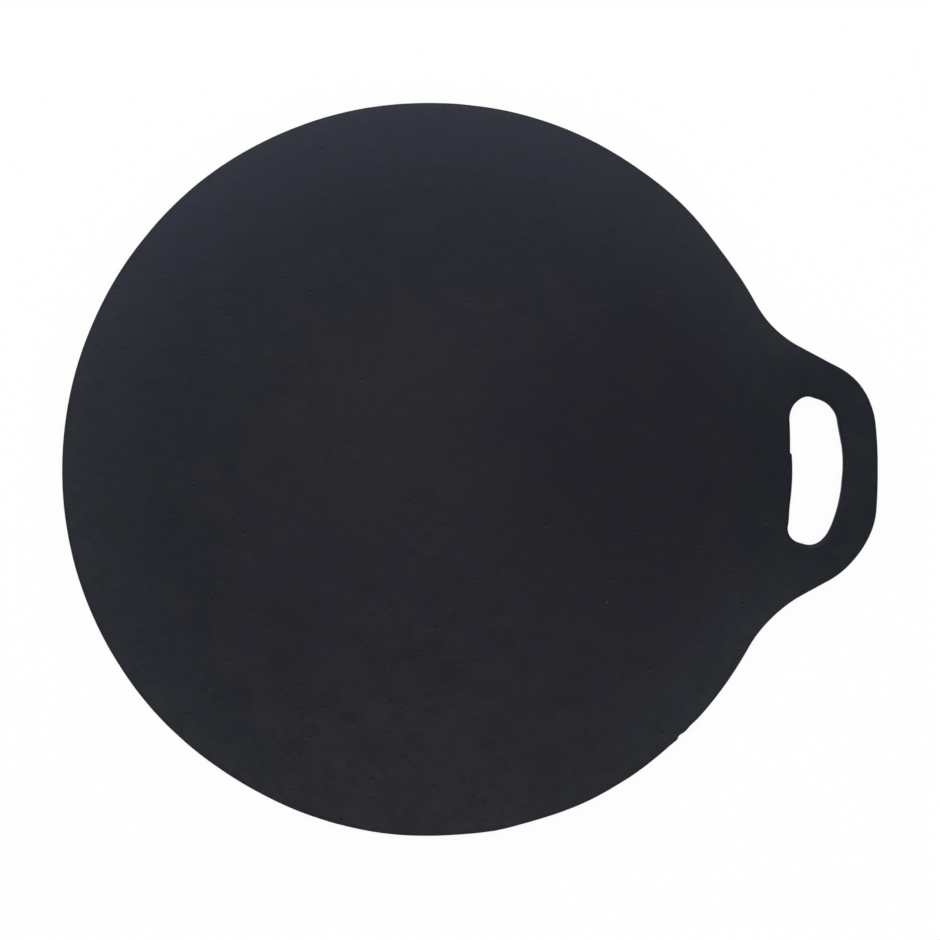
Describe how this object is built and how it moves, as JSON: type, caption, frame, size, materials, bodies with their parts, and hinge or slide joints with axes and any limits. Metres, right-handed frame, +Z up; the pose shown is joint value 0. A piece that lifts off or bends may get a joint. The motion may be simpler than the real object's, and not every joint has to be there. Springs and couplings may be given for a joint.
{
  "type": "cast iron griddle",
  "caption": "Round flat cast iron griddle for flat breads, poured as a single casting with a slotted ear handle at its rim.",
  "frame": {"origin": "middle of the round plate, on the flat underside that rests on the stove", "axes": "+Z up out of the cooking face, +X from the plate's middle along the ear handle, +Y across the ear"},
  "size_m": [0.3336, 0.3, 0.005],
  "materials": {
    "seasoned_iron": "as-cast fine grain under a matte black baked-on oil seasoning"
  },
  "bodies": {
    "root": {"griddle_casting": "seasoned_iron"}
  },
  "joints": []
}
